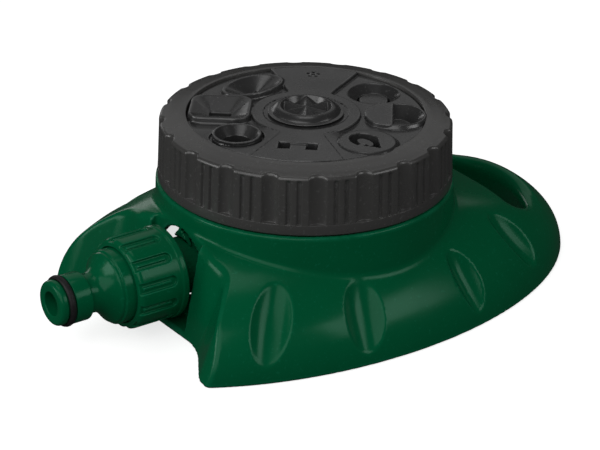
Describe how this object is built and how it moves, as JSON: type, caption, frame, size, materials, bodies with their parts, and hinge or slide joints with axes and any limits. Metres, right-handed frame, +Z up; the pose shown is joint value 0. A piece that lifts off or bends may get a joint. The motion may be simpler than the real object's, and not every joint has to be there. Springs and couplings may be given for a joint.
{
  "type": "turret lawn sprinkler",
  "caption": "Low oval garden sprinkler with a carry handle, a turning knurled turret of spray patterns and a hose nipple held by a ribbed union nut.",
  "frame": {"origin": "middle of the bounding box on the plane that the base rests on", "axes": "+X from the hose inlet towards the carry handle, +Z up, the turret turns about a vertical axis 1.15 mm on the hose side of the origin"},
  "size_m": [0.2102, 0.1338, 0.0671],
  "materials": {
    "green_plastic": "moulded, satin gloss",
    "black_plastic": "moulded, fine satin",
    "white_plastic": "moulded",
    "rubber": "smooth",
    "steel": "plated"
  },
  "bodies": {
    "base": {"base_shell": "green_plastic", "water_channel": "green_plastic", "channel_plug": "black_plastic", "housing_screw_1": "steel", "housing_screw_2": "steel", "housing_screw_3": "steel", "housing_screw_4": "steel", "port_spring": "steel", "detent_spring": "steel", "pivot_seal": "rubber", "pivot_washer": "steel", "pivot_screw": "steel", "hose_nipple": "green_plastic", "nipple_seal": "rubber", "inlet_gasket": "rubber"},
    "turret": {"grip_ring": "black_plastic", "pattern_disc": "black_plastic", "lower_plate": "black_plastic", "hub_cap": "black_plastic"},
    "nut": {"coupling_nut": "green_plastic"},
    "seal": {"port_seal": "rubber"},
    "plunger": {"detent_plunger": "white_plastic"}
  },
  "joints": [
    {"name": "turret_turn", "type": "hinge", "parent": "base", "child": "turret", "pos_m": [-0.00115, 0, 0.05], "axis": [0, 0, 1], "continuous": true},
    {"name": "nut_turn", "type": "hinge", "parent": "base", "child": "nut", "pos_m": [-0.07, 0, 0.0194], "axis": [1, 0, 0], "continuous": true},
    {"name": "seal_press", "type": "slide", "parent": "base", "child": "seal", "axis": [0, 0, -1], "range_m": [0, 0.001], "stiffness_N_per_m": 400, "springref_m": -0.002, "deforming": ["port_spring"]},
    {"name": "detent_press", "type": "slide", "parent": "base", "child": "plunger", "axis": [0, 0, -1], "range_m": [0, 0.0015], "stiffness_N_per_m": 300, "springref_m": -0.002, "deforming": ["detent_spring"]}
  ]
}
